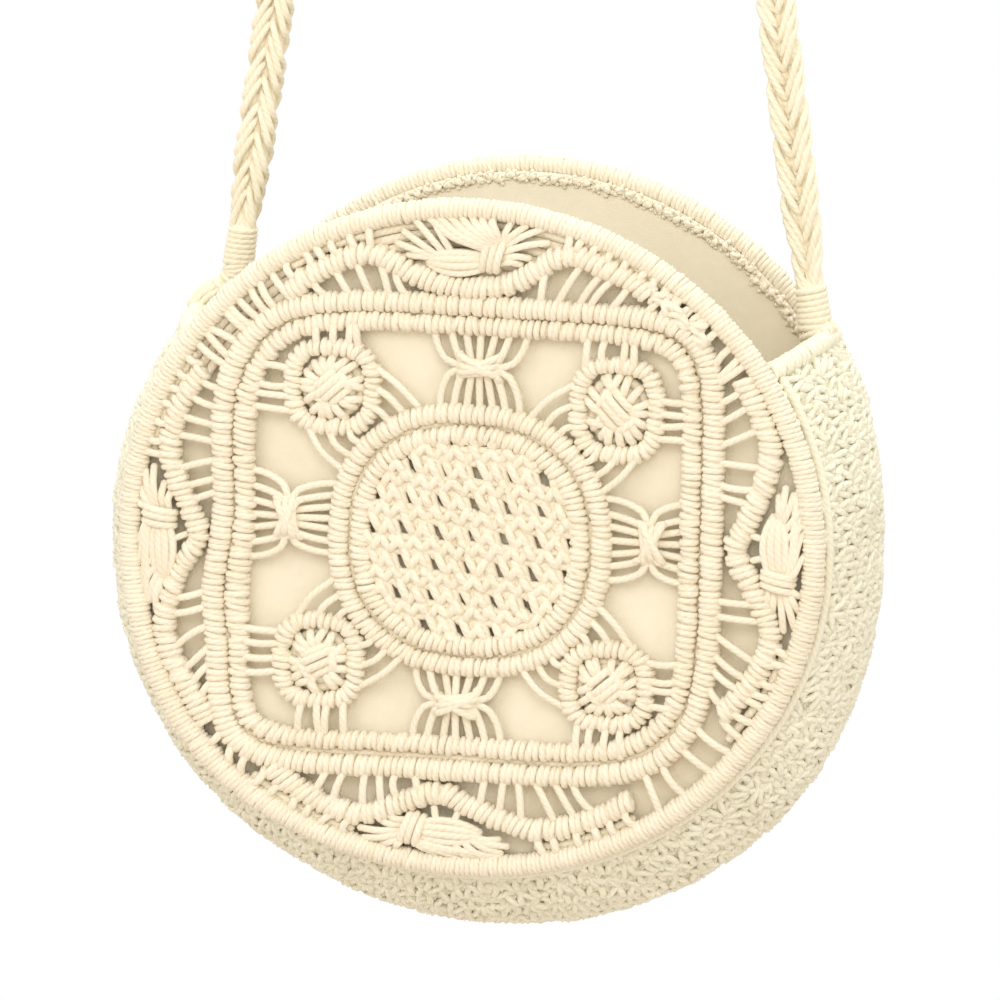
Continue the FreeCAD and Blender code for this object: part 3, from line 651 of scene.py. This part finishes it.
# Each rosette's middle and half sizes, clockwise from the upper right, and the lean of its middle knot
ROSETTES = (((45, 44.8), (12.2, 14.5), -0.75), ((43.8, -45), (12.2, 12.2), 0.75),
            ((-46.2, -42.4), (11.6, 12.9), 0.45), ((-43.8, 46.6), (12.6, 13), 0.75))
ROSETTE_AT = 45.5
ROSETTE_RIDGE = 3.2
# Cords from a ring to the medallion, by their two ends from the ring's middle
ROSETTE_TIES = (((-13, 7.6), (-27, -4.4)), ((-13, 1), (-22, -6.4)), ((-12, -5.6), (-18, -10)))
# A berry's strands: turn from its lean, offset to the side, half length and rise
BERRY_STRANDS = ((0, -3.4, 4, 2.2), (0, -1.2, 5.6, 3), (0, 1.1, 5.8, 3.1), (0, 3.3, 4.2, 2.3),
                 (1.35, -4.6, 3, 2), (1.7, 4.8, 3, 2))


def rosette_ring_cords():
    """A small ring of hitches in each corner, and the cords that tie it to frame and medallion."""
    cords = Cords(11)
    for turns, (middle, halves, _) in enumerate(ROSETTES):
        line = superellipse(*halves, 3.0, middle)
        cords.hitches(line, ROSETTE_RIDGE, cord=1.15, pitch=2.1, slant=0.2, closed=True, wild=1.3)
        shift = np.array((*middle, 0.0)) - quarter((ROSETTE_AT, ROSETTE_AT, 0), turns)
        for axes in ([0, 1, 2], [1, 0, 2]):
            for across in (-8.6, -4.2, 0.2, 4.6):
                start = (ROSETTE_AT + across + cords.jitter(0.5), ROSETTE_AT + 12.5, 0.8)
                end = (start[0] + cords.jitter(0.7), 69.0 - 0.8 * (across > 3), 0.8)
                bow = (0.5 * (start[0] + end[0]) + cords.jitter(0.4), 0.5 * (start[1] + end[1]), 2.2)
                path = curve([start, bow, end], 8)[0][:, axes]
                cords.add(quarter(path, turns) + shift, 1.25)
            for start, end in ROSETTE_TIES:
                start = np.array((ROSETTE_AT + start[0], ROSETTE_AT + start[1], 0.6))
                end = np.array((ROSETTE_AT + end[0], ROSETTE_AT + end[1], 0.6))
                bow = 0.5 * (start + end) + np.array((-0.7, 1.0, 1.6))
                path = curve([start, bow, end], 12)[0][:, axes]
                cords.add(quarter(path, turns) + shift, 1.2)
    return cords


def rosette_berry_cords():
    """Short cords that run in from the ring, all round, to a knot of parallel strands."""
    cords = Cords(12)
    angles = circle(24)
    for middle, halves, lean in ROSETTES:
        at = np.array((*middle, 0.0))
        wide = np.array((halves[0] / 12.0, halves[1] / 12.0, 1.0))
        for radius, depth, thick in ((8.2, -2.0, 1.9), (5.2, -1.0, 2.2), (2.0, -0.2, 2.4)):
            ring = np.stack([radius * np.cos(angles), radius * np.sin(angles), np.full(24, depth)], 1)
            cords.add(at + ring * wide, thick, closed=True)
        for angle in circle(17) + cords.jitter(0.09, 17):
            ray = np.array((math.cos(angle), math.sin(angle), 0))
            twist = np.array((-ray[1], ray[0], 0)) * cords.jitter(0.9)
            reach = 9.6 + cords.jitter(0.4)
            knots = np.array([reach * ray + (0, 0, -0.6), 0.82 * reach * ray + (0, 0, 1.3) + 0.4 * twist,
                              0.6 * reach * ray + (0, 0, 1.7) + twist, 3.8 * ray + (0, 0, 0.4) + twist])
            cords.add(curve(knots * wide + at, 11), 1.4)
        for turn, offset, half, rise in BERRY_STRANDS:
            along = np.array((math.cos(lean + turn), math.sin(lean + turn), 0))
            beside = np.array((-along[1], along[0], 0)) * offset + cords.jitter(0.3, 3)
            knots = np.array([beside - half * along, beside - 0.55 * half * along + (0, 0, rise),
                              beside + 0.55 * half * along + (0, 0, rise), beside + half * along])
            cords.add(curve(knots * wide + at, 12), 1.45)
    return cords


NET_PITCH = 10.35
NET_HALF = 33.6
NET_LEAN = (0.1, -0.04)
# One knot's strands, by their two ends
NET_STRANDS = (((0.2, 4.7), (3.7, -2.3)), ((3.3, -2.6), (6.5, 2.6)), ((5, 3.2), (8.1, -2.6)),
               ((7.6, -2.4), (9, -4.4)), ((1.4, 3.2), (4.7, 8.2)), ((3.9, 8.2), (7.2, 3.2)),
               ((6.8, 3), (9.8, 8)), ((9, 8.4), (11.6, 4.2)))


def net_cords():
    """Rows of square knots, each a zigzag of short strands, with a small slanted gap beside each."""
    cords = Cords(13)

    def lay(path, radius):
        kept = path[np.hypot(path[:, 0] - MEDALLION_MIDDLE[0], path[:, 1] - MEDALLION_MIDDLE[1]) < NET_HALF]
        if len(kept) > 3:
            cords.add(kept, radius)

    for row in range(-4, 5):
        for column in range(-4, 5):
            at = np.array((column + NET_LEAN[0] * row, row + NET_LEAN[1] * column, 0)) * NET_PITCH
            at = at + (0.2, 1.0, 0) + cords.jitter(0.3, 3) * (1, 1, 0.3)
            for start, end in NET_STRANDS:
                start = np.array((*start, 0.0)) + cords.jitter(0.3, 3)
                end = np.array((*end, 0.0)) + cords.jitter(0.3, 3)
                bow = np.array((0, 0, 1.3 + cords.jitter(0.2)))
                near, far = 0.7 * start + 0.3 * end + bow, 0.3 * start + 0.7 * end + bow
                lay(curve([start, near, far, end], 10)[0] + at, 1.42)
            for v in (3.2, 5.2, 7.2):
                lay(at + np.array([(u, v, 0.0) for u in np.linspace(-0.6, 11, 8)]), 1.45)
            for u in (2.6, 4.5, 6.4, 8.2):
                lay(at + np.array([(u - 0.28 * v, v, -0.1) for v in np.linspace(-3.4, 3.2, 6)]), 1.45)
    return cords


dress_panels("rim_cords", rim_cords().mesh, panel_cord, "rim_wrap")
for node_name, settings in (
        ("frame_outer", (FRAME_OUTER, OUTER_RIDGE, 3, 1.9, 0.12)),
        ("frame_inner", (FRAME_INNER, INNER_RIDGE, 4, 2.1, 0.16, 1.5, FRAME_OUTER)),
        ("medallion_outer", (MEDALLION_OUTER, MEDALLION_RIDGE, 5, 1.95, 0.14)),
        ("medallion_inner", (MEDALLION_INNER, MEDALLION_RIDGE, 6, 2.05, 0.16, 1.3, MEDALLION_OUTER))):
    dress_panels(f"{node_name}_cords", ridge_cords(*settings).mesh, panel_cord, node_name)
for build, node_name in ((chevron_cords, "chevron_ridges"), (ladder_cords, None), (eye_cords, "eye_knots"),
                         (butterfly_cords, "butterfly_knots"), (rosette_ring_cords, "rosette_rings"),
                         (rosette_berry_cords, "rosette_berries"), (net_cords, "centre_net")):
    dress_panels(build.__name__, build().mesh, panel_cord, node_name)
dress_panels("rim_wire", rim_wire().mesh, hoop_paint, "rim_hoop")


# Cloth

def slab(name, grid, thickness, wrap):
    """A closed thin sheet over a grid of points in the frame; wrap joins the grid's last row to its first."""
    rows, columns, _ = grid.shape
    ahead = np.roll(grid, -1, 0) - np.roll(grid, 1, 0) if wrap else np.gradient(grid, axis=0)
    normal = unit(np.cross(ahead, np.gradient(grid, axis=1)))
    points = np.concatenate([grid.reshape(-1, 3), (grid - normal * thickness).reshape(-1, 3)])
    layer = rows * columns
    index = np.arange(layer).reshape(rows, columns)
    if wrap:
        index = np.vstack([index, index[:1]])

    def edge(line):
        return np.stack([line[:-1], line[:-1] + layer, line[1:] + layer, line[1:]], -1)

    a, b, c, d = index[:-1, :-1], index[1:, :-1], index[1:, 1:], index[:-1, 1:]
    faces = [np.stack([a, b, c, d], -1).reshape(-1, 4), np.stack([a, d, c, b], -1).reshape(-1, 4) + layer,
             edge(index[:, 0]), edge(index[:, -1])[:, ::-1]]
    if not wrap:
        faces += [edge(index[0])[:, ::-1], edge(index[-1])]
    mesh = bpy.data.meshes.new(name)
    mesh.from_pydata((points * MM).tolist(), [], np.concatenate(faces).tolist(), shade_flat=False)
    return mesh


def lining_mesh(name, place):
    """The panel's cloth, pillowed in the windows, with its edge against the rim."""
    rng = np.random.default_rng(21)
    spokes, rings = 220, 46
    angle = circle(spokes)
    reach = LINING_EDGE * np.linspace(0.004, 1, rings)
    u = np.outer(np.cos(angle), reach)
    v = np.outer(np.sin(angle), reach)
    d = np.full_like(u, LINING_DEPTH)
    for _ in range(40):
        spread = rng.uniform(10, 22)
        at = rng.uniform(-85, 85, 2)
        d += rng.normal(0, 0.35) * np.exp(-((u - at[0]) ** 2 + (v - at[1]) ** 2) / spread**2)
    d = np.minimum(d, LINING_DEPTH + 0.2)
    d += 1.2 * np.clip(1 - (reach / 31.0) ** 4, 0, 1)
    points = np.stack([u, v, d], -1).reshape(-1, 3)
    return slab(name, place(points).reshape(spokes, rings, 3), -0.5, True)


for piece in dress_panels("lining_cloth", lining_mesh, lining_cloth, "lining"):
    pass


def patch_mesh(name, place):
    """The small round of cloth that carries half the snap, with a turned edge."""
    angle = circle(48)
    share = np.linspace(0.02, 1, 8)
    reach = PATCH_RADIUS * share[None] * (1 + 0.012 * np.sin(9 * angle))[:, None]
    rise = 0.35 + 0.35 * np.sqrt(np.clip(1 - share**6, 0, 1))
    x = reach * np.cos(angle)[:, None]
    z = CENTRE_Z + SNAP_Z + reach * np.sin(angle)[:, None]
    y = np.broadcast_to(PATCH_Y + rise[None], x.shape)
    return slab(name, place(np.stack([x, y, z], -1)), 0.3, True)


for piece in dress_panels("patch_cloth", patch_mesh, lining_cloth, "snap_patch",
                          (in_frame, turned_back)):
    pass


# Gusset

GUSSET_HALF = 35.4
GUSSET_EDGE = 35.2
GUSSET_RIM = 109.7
GUSSET_BULGE = 12.3
GUSSET_SAG = 8.0
MOUTH = math.radians(31)
# How much fuller the band is at angles about the panels' middle, in degrees
GUSSET_FULLER = ((-211, -1), (-180, 0), (-90, 2), (-45, 1), (-20, -2.6), (0, -3.8), (12, -1.5),
                 (25, 2.5), (31, 3.5), (149, -1))


def gusset_point(angle, y, depth):
    """A point of the gusset's skin, depth inside its outer face, at an angle about the panels' middle."""
    swell = 1 - np.minimum(np.abs(y) / GUSSET_HALF, 1) ** 2
    fuller = np.interp((np.degrees(angle) + 240) % 360 - 240, *zip(*GUSSET_FULLER))
    front = np.clip(-y / GUSSET_HALF, 0, 1)
    radius = GUSSET_RIM + (GUSSET_BULGE + fuller) * swell + bulge(angle) * front - depth
    drop = -GUSSET_SAG * swell
    far = drop * np.sin(angle) + np.sqrt(radius**2 - (drop * np.cos(angle)) ** 2)
    oval_v = np.interp(y, (-RIM_DEPTH, RIM_DEPTH), (OVAL_V["front"], OVAL_V["back"]))
    x = far * np.cos(angle) * OVAL_U
    z = CENTRE_Z + far * np.sin(angle) * oval_v
    return np.stack([x, y + 0 * angle, z], -1)


def gusset_axes(angle, y, depth):
    """Directions across the gusset's skin, along it and out of it."""
    small = 0.01
    across = unit(gusset_point(angle, y + 1, depth) - gusset_point(angle, y - 1, depth))
    along = unit(gusset_point(angle + small, y, depth) - gusset_point(angle - small, y, depth))
    return across, along, unit(np.cross(across, along))


def gusset_cords(hand):
    """Half of the gusset's alternating square knots, front or back of its middle."""
    cords = Cords(30 + hand)
    row_pitch, column_pitch = 5.2, 5.9
    depth = 2.1
    mean_radius = 116
    sweep = math.pi + 2 * MOUTH
    rows = round(sweep * mean_radius / row_pitch)
    columns = 7
    knot = square_knot(1.0, 1.0, 1.0, 11)
    for row in range(rows):
        angle = MOUTH - (row + 0.5) * sweep / rows
        first = 0.5 if row % 2 else 0.5 + 0.5 * hand
        y = (np.arange(columns) + first) * column_pitch
        y = y[y < GUSSET_HALF + 1.5]
        number = len(y)
        y = hand * y + cords.jitter(0.25, number)
        angles = angle + cords.jitter(0.002, number)
        across, along, out = gusset_axes(angles, y, depth)
        at = gusset_point(angles, y, depth)
        flip = cords.random.choice((-1, 1), number)[:, None, None]
        size = 1 + cords.jitter(0.07, number)[:, None, None]
        spin = cords.jitter(0.35, number)[:, None, None]
        lift = cords.jitter(0.3, number)[:, None, None]
        for strand in knot:
            a = strand[None, :, 0:1] * flip * 2.8 * size
            b = strand[None, :, 1:2] * 3.3 * size
            path = (at[:, None] + across[:, None] * (a * np.cos(spin) - b * np.sin(spin))
                    + along[:, None] * (a * np.sin(spin) + b * np.cos(spin))
                    + out[:, None] * (strand[None, :, 2:3] * 1.4 + lift))
            cords.add(path, 1.22, sides=5)
    seam = np.linspace(MOUTH, -math.pi - MOUTH, 130)
    for y in (np.arange(12) + 0.5) * 0.5 * column_pitch:
        cords.add(gusset_point(seam, np.full_like(seam, hand * y), 3.2), 1.9)
    cords.add(gusset_point(seam, np.full_like(seam, hand * GUSSET_EDGE), -0.4), 1.5)
    return cords.mesh(f"gusset_{FACE[hand]}_cords", in_frame)


def gusset_cloth(hand):
    angle = np.linspace(MOUTH, -math.pi - MOUTH, 150)[:, None]
    y = hand * np.linspace(0.0, GUSSET_EDGE, 14)[None]
    grid = gusset_point(angle, np.broadcast_to(y, (150, 14)), 5.3)
    return slab(f"gusset_{FACE[hand]}_cloth", grid, 0.6 * hand, False)


def roll_angle(side):
    return MOUTH if side > 0 else math.pi - MOUTH


def roll_line(side, hand):
    """The middle line of one half of the rolled hem beside the mouth."""
    y = hand * np.linspace(0, 36.5, 40)
    angle = roll_angle(side)
    lift = 3.3 * side * np.array((-math.sin(angle), 0, math.cos(angle)))
    return gusset_point(np.full(40, angle), y, 2.0) + lift


def roll_cords(side, hand):
    cords = Cords(40 + 2 * side + hand)
    angle = roll_angle(side)
    out = np.array((math.cos(angle), 0.0, math.sin(angle)))
    cords.hitches(roll_line(side, hand), 3.4, cord=1.05, pitch=2.1, slant=0.2, out=out)
    return cords.mesh(f"roll_{SIDE[side]}_{FACE[hand]}_cords", in_frame)


for hand, panel in ((-1, "front_panel"), (1, "back_panel")):
    band = add_object(gusset_cords(hand), gusset_cord)
    cloth = add_object(gusset_cloth(hand), lining_cloth)
    left, right = (add_object(roll_cords(side, hand), gusset_cord) for side in SIDE)
    for piece, node_name in ((band, "gusset_band"), (cloth, "gusset_lining"), (left, "gusset_end_roll_left"),
                             (right, "gusset_end_roll_right")):
        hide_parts(node_name)
        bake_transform(piece)


# Strap

# Where the strap's middle line ends at each foot, in x and z, and lengths from there that the foot runs over
FEET = {-1: (-88.6, -490.0), 1: (99.9, -496.0)}
FOOT_LENGTHS = {-1: (19.0, 13.0, 7.0, 1.0), 1: (16.5, 11.0, 6.0, 1.0)}
# Each whipping's turns and radius
WHIPPINGS = {-1: (13, 3.7), 1: (10, 4.0)}
# The bend over the hook: height of its middle and radius
BEND_Z = -20.0
BEND = 27.5
PLAIT_PERIOD = 54.0
PLAIT_HALF = 5.0
PLAIT_DEPTH = 2.8


def strap_line():
    """The strap's middle line from the left foot over the top to the right foot, with its lengths."""
    runs, leans = [], []
    for x, z in FEET.values():
        rise = BEND_Z - z
        lean = math.atan2(abs(x), rise) - math.asin(BEND / math.hypot(x, rise))
        run = math.sqrt(x**2 + rise**2 - BEND**2)
        inward = -math.copysign(math.sin(lean), x)
        runs.append(np.linspace(0, run, 200)[:, None] * (inward, math.cos(lean)) + (x, z))
        leans.append(lean)
    turn = np.linspace(math.pi - leans[0], leans[1], 60)[1:-1]
    top = np.stack([BEND * np.cos(turn), BEND_Z + BEND * np.sin(turn)], 1)
    line = np.concatenate([runs[0], top, runs[1][::-1]])
    return line, distances(line)


STRAP_LINE, STRAP_LENGTH = strap_line()


def along_strap(length, a, b):
    """Points at lengths along the strap, a to its side in the bag's plane and b towards the back."""
    before, point, after = (sample(length + k, STRAP_LENGTH, STRAP_LINE) for k in (-2, 0, 2))
    ahead = unit(after - before)
    x = point[..., 0] + a * ahead[..., 1]
    z = point[..., 1] - a * ahead[..., 0]
    return np.stack([x, b + 0 * x, z], -1)


def plait_cords():
    """Three strands of three cords, plaited flat, from one whipping over the top to the other."""
    cords = Cords(50)
    total = STRAP_LENGTH[-1]
    s = np.arange(8, total - 8, 1.2)
    end = np.minimum(s, total - s)
    taper = 0.52 + 0.48 * np.clip((end - 14) / 26, 0, 1) ** 0.8
    for strand in range(3):
        for k in (-1, 0, 1):
            phase = TURN * (s / PLAIT_PERIOD + strand / 3 + 0.8 * k / 9)
            a = PLAIT_HALF * np.arcsin(0.95 * np.sin(phase)) / math.asin(0.95)
            b = PLAIT_DEPTH * np.tanh(2.2 * np.sin(2 * phase)) / math.tanh(2.2)
            cords.add(along_strap(s, a * taper, b * taper) + cords.jitter(0.08, 1, 1, 3), 1.22)
    for a in (-2.7, 0, 2.7):
        cords.add(along_strap(s[::3], a * taper[::3], 0 * s[::3]), 1.95)
    return cords.mesh("strap_plait_cords", in_frame)


def foot_line(side):
    """From under the plait's end down to the middle of the gusset's rolled end."""
    lengths = np.array(FOOT_LENGTHS[side])
    if side > 0:
        lengths = STRAP_LENGTH[-1] - lengths
    strap = along_strap(lengths, np.zeros(4), np.zeros(4))
    return curve(np.vstack([strap, roll_line(side, 1)[:1]]), 60)[0]


def around(line, share, across, back):
    """Points beside a line in the bag's plane: a share of the way along, across it and towards the back."""
    steps = np.arange(len(line))
    place = share * (len(line) - 1)
    run = sample(place, steps, unit(np.gradient(line, axis=0)))
    beside = np.stack([run[:, 2], 0 * run[:, 0], -run[:, 0]], -1)
    behind = np.array((0.0, 1.0, 0.0))
    return sample(place, steps, line) + beside * across[:, None] + behind * back[:, None]


def whipping_cords(side):
    """A cord wound around the foot, over a thick core."""
    cords = Cords(52 + side)
    turns, radius = WHIPPINGS[side]
    angle = np.linspace(0, TURN * turns, 22 * turns)
    share = 0.02 + 0.9 * angle / angle[-1]
    line = foot_line(side)
    radius = radius + 0.9 * share
    cords.add(around(line, share, radius * np.cos(angle), radius * np.sin(angle)), 1.15)
    cords.add(line[2:-2], 3.6, sides=14)
    return cords.mesh(f"whipping_{SIDE[side]}_cords", in_frame)


def foot_cords(side):
    """The strap's cords, spread from the whipping over the gusset's rolled end."""
    cords = Cords(56 + side)
    line = foot_line(side)
    share = np.array((0.75, 0.85, 0.94, 1.0))
    spread = np.array((3.6, 4.0, 5.2, 5.6))
    for angle in circle(14):
        knots = around(line, share, spread * math.cos(angle), spread * math.sin(angle) * (1, 1, 1.1, 1.2))
        knots[-1, 2] -= 2.5
        cords.add(curve(knots, 12), 1.15)
    return cords.mesh(f"foot_{SIDE[side]}_cords", in_frame)


plait = add_object(plait_cords(), strap_cord)
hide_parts("strap_run_left", "strap_run_right", "strap_crown")
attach(plait, "strap")
for build, kind in ((whipping_cords, "whipping"), (foot_cords, "foot")):
    for side, side_name in SIDE.items():
        piece = add_object(build(side), strap_cord)
        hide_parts(f"strap_{kind}_{side_name}")
        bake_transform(piece)


# Camera, light and stage

# The photo's width in pixels, and one pixel's size at the front panel
PICTURE = 1000
PIXEL = 0.3112
AZIMUTH = math.radians(14.2)
ELEVATION = math.radians(9.95)
ROLL = math.radians(1.2)
DISTANCE = 2600.0
SENSOR = 36
FRONT_MIDDLE_PX = (469.8, 539.1)

level = math.cos(ELEVATION)
back = Vector((math.sin(AZIMUTH) * level, -math.cos(AZIMUTH) * level, math.sin(ELEVATION)))
right = Vector((math.cos(AZIMUTH), math.sin(AZIMUTH), 0))
up = back.cross(right)
right, up = (right * math.cos(ROLL) + up * math.sin(ROLL), up * math.cos(ROLL) - right * math.sin(ROLL))
target = Vector((0, -RIM_DEPTH, CENTRE_Z))
half = PICTURE / 2
target += right * (half - FRONT_MIDDLE_PX[0]) * PIXEL + up * (FRONT_MIDDLE_PX[1] - half) * PIXEL
camera_data = bpy.data.cameras.new("camera")
camera_data.sensor_width = SENSOR
camera_data.lens = SENSOR * DISTANCE / (PICTURE * PIXEL)
camera_data.clip_end = 20
camera = new_object("camera", camera_data)
turned = Matrix((right, up, back)).transposed()
camera.matrix_world = Matrix.Translation((target + back * DISTANCE) * MM) @ turned.to_4x4()
bpy.context.scene.camera = camera


def area_light(name, place, size, energy, colour):
    """A lamp that faces the panels' middle."""
    data = bpy.data.lights.new(name, "AREA")
    data.size = size
    data.energy = energy
    data.color = colour
    light = new_object(name, data)
    light.location = place
    middle = Vector((0, 0, CENTRE_Z * MM))
    light.rotation_euler = (middle - Vector(place)).to_track_quat("-Z", "Y").to_euler()
    light.visible_camera = False


area_light("key", (-0.45, -0.85, 0.0), 0.5, 1.8, (1.0, 0.98, 0.95))
area_light("front", (0.45, -1.7, 0.5), 0.8, 7.6, (1.0, 0.99, 0.97))
area_light("fill", (1.3, -1.2, -0.2), 1.2, 2, (1.0, 1.0, 0.97))
area_light("top", (0.1, 0.2, 0.9), 0.9, 9, (1.0, 0.99, 0.97))


def seen_ray(tree):
    """1 for rays that see the background itself: from the camera, in gloss or through glass."""
    path = make(tree, "LightPath")
    glossy = calc(tree, "MAXIMUM", path["Is Camera Ray"], path["Is Glossy Ray"])
    return calc(tree, "MAXIMUM", glossy, path["Is Transmission Ray"])


def lit_or_white(tree, lit, white, end):
    """Show a white ground, and light the bag by another."""
    mix = make(tree, "MixShader", {0: seen_ray(tree), 1: lit.outputs[0], 2: white[0]})
    tree.links.new(mix[0], tree.nodes[end].inputs[0])


world = bpy.data.worlds.new("studio")
world.use_nodes = True
bpy.context.scene.world = world
tree = world.node_tree
lit = tree.nodes["Background"]
feed(tree, lit, {"Color": (1.0, 0.99, 0.98, 1), "Strength": 0.98})
white = make(tree, "Background", {"Color": (1, 1, 1, 1), "Strength": 1.0})
lit_or_white(tree, lit, white, "World Output")

floor_material, tree, floor_shader = new_material("pale_floor")
feed(tree, floor_shader, {"Base Color": (0.72, 0.635, 0.565, 1), "Roughness": 0.9})
lit_or_white(tree, floor_shader, make(tree, "Emission"), "Material Output")
floor_mesh = bpy.data.meshes.new("floor")
FLOOR_Z = -1.25
corners = ((-4, -4, FLOOR_Z), (4, -4, FLOOR_Z), (4, 4, FLOOR_Z), (-4, 4, FLOOR_Z))
floor_mesh.from_pydata(corners, [], [(0, 1, 2, 3)])
floor_mesh.materials.append(floor_material)
new_object("floor", floor_mesh)

bpy.context.scene.view_settings.view_transform = "Standard"
